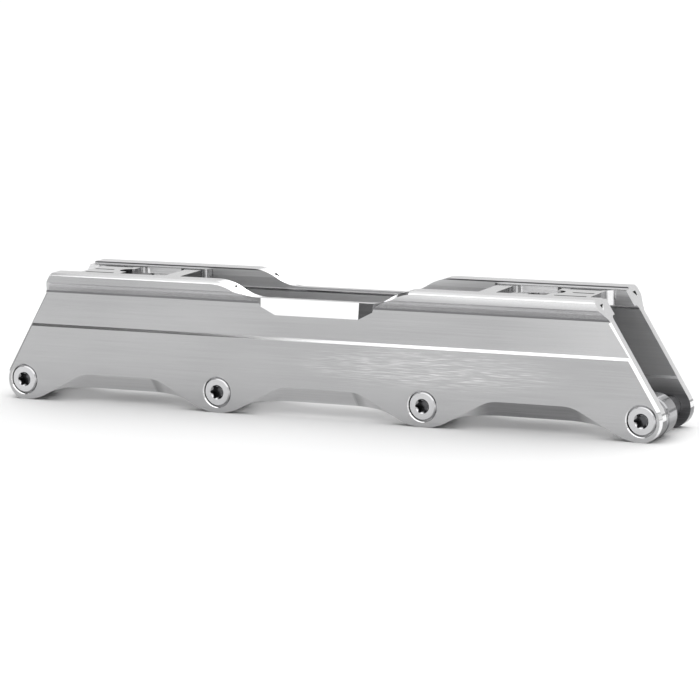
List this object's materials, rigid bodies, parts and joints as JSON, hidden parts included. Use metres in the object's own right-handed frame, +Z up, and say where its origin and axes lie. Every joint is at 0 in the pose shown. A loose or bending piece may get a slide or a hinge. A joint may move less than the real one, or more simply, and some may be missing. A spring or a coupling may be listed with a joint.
{
  "type": "inline skate frame",
  "caption": "Bare inline skate frame: a milled aluminium channel with bevelled lobes, slotted boot platforms, two-piece wheel axles and loose axle spacers.",
  "frame": {"origin": "under the middle of the frame, on the plane that its lobes stand on", "axes": "+X along the frame, +Y across it towards the axle screws, +Z up towards the boot"},
  "size_m": [0.2626, 0.04, 0.0491],
  "materials": {
    "polished_aluminium": "polished",
    "axle_metal": "satin",
    "spacer_metal": "polished"
  },
  "bodies": {
    "frame": {"frame_body": "polished_aluminium"},
    "sleeve_1": {"axle_sleeve_1": "axle_metal"},
    "sleeve_2": {"axle_sleeve_2": "axle_metal"},
    "sleeve_3": {"axle_sleeve_3": "axle_metal"},
    "sleeve_4": {"axle_sleeve_4": "axle_metal"},
    "screw_1": {"axle_screw_1": "axle_metal"},
    "screw_2": {"axle_screw_2": "axle_metal"},
    "screw_3": {"axle_screw_3": "axle_metal"},
    "screw_4": {"axle_screw_4": "axle_metal"},
    "spacer_1": {"axle_spacer_1": "spacer_metal"},
    "spacer_2": {"axle_spacer_2": "spacer_metal"},
    "spacer_3": {"axle_spacer_3": "spacer_metal"},
    "spacer_4": {"axle_spacer_4": "spacer_metal"}
  },
  "joints": [
    {"name": "sleeve_1_out", "type": "slide", "parent": "frame", "child": "sleeve_1", "axis": [0, -1, 0], "range_m": [0, 0.036]},
    {"name": "sleeve_2_out", "type": "slide", "parent": "frame", "child": "sleeve_2", "axis": [0, -1, 0], "range_m": [0, 0.036]},
    {"name": "sleeve_3_out", "type": "slide", "parent": "frame", "child": "sleeve_3", "axis": [0, -1, 0], "range_m": [0, 0.036]},
    {"name": "sleeve_4_out", "type": "slide", "parent": "frame", "child": "sleeve_4", "axis": [0, -1, 0], "range_m": [0, 0.036]},
    {"name": "screw_1_out", "type": "slide", "parent": "frame", "child": "screw_1", "axis": [0, 1, 0], "range_m": [0, 0.02]},
    {"name": "screw_2_out", "type": "slide", "parent": "frame", "child": "screw_2", "axis": [0, 1, 0], "range_m": [0, 0.02]},
    {"name": "screw_3_out", "type": "slide", "parent": "frame", "child": "screw_3", "axis": [0, 1, 0], "range_m": [0, 0.02]},
    {"name": "screw_4_out", "type": "slide", "parent": "frame", "child": "screw_4", "axis": [0, 1, 0], "range_m": [0, 0.02]},
    {"name": "spacer_1_slide", "type": "slide", "parent": "frame", "child": "spacer_1", "axis": [0, 1, 0], "range_m": [0, 0.0124]},
    {"name": "spacer_2_slide", "type": "slide", "parent": "frame", "child": "spacer_2", "axis": [0, 1, 0], "range_m": [0, 0.0124]},
    {"name": "spacer_3_slide", "type": "slide", "parent": "frame", "child": "spacer_3", "axis": [0, 1, 0], "range_m": [0, 0.0124]},
    {"name": "spacer_4_slide", "type": "slide", "parent": "frame", "child": "spacer_4", "axis": [0, 1, 0], "range_m": [0, 0.0124]}
  ]
}
